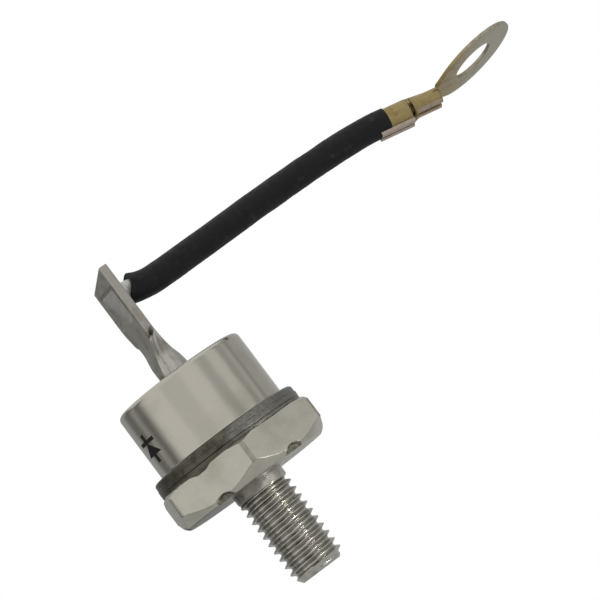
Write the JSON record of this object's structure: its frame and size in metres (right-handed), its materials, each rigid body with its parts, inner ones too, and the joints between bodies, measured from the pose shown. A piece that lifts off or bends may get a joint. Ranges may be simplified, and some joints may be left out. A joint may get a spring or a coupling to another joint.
{
  "type": "stud mount diode",
  "caption": "Stud mount rectifier diode: hexagon base with a threaded stud, welded round cap, flattened terminal tube and a short sleeved lead ending in a ring terminal.",
  "frame": {"origin": "centre of the hexagon's seating face, on the stud axis", "axes": "+Z along the stud axis towards the terminal tube, +X the way the lead leaves the blade"},
  "size_m": [0.0835, 0.0285, 0.0512],
  "materials": {
    "plated_base": "satin nickel plate on copper",
    "dark_steel": "dull, heat-darkened steel",
    "plated_cap": "bright nickel plate on steel",
    "seal_glass": "opaque dark glass",
    "plated_tube": "satin plate, marked by the press",
    "solder": "satin solder",
    "molybdenum": "ground",
    "silicon": "polished",
    "coating_rubber": "matt",
    "copper": "satin copper",
    "tinned_wire": "tinned copper strands",
    "black_sleeve": "satin black",
    "brass_terminal": "satin brass"
  },
  "bodies": {
    "root": {"stud_base": "plated_base", "weld_ring": "dark_steel", "cap_shell": "plated_cap", "glass_seal": "seal_glass", "terminal_tube": "plated_tube", "base_solder": "solder", "lower_disc": "molybdenum", "silicon_die": "silicon", "edge_coating": "coating_rubber", "upper_disc": "molybdenum", "cup_solder": "solder", "contact_cup": "copper", "inner_lead": "copper", "lead_wire": "tinned_wire", "lead_solder": "solder", "lead_sleeve": "black_sleeve", "ring_terminal": "brass_terminal"}
  },
  "joints": []
}
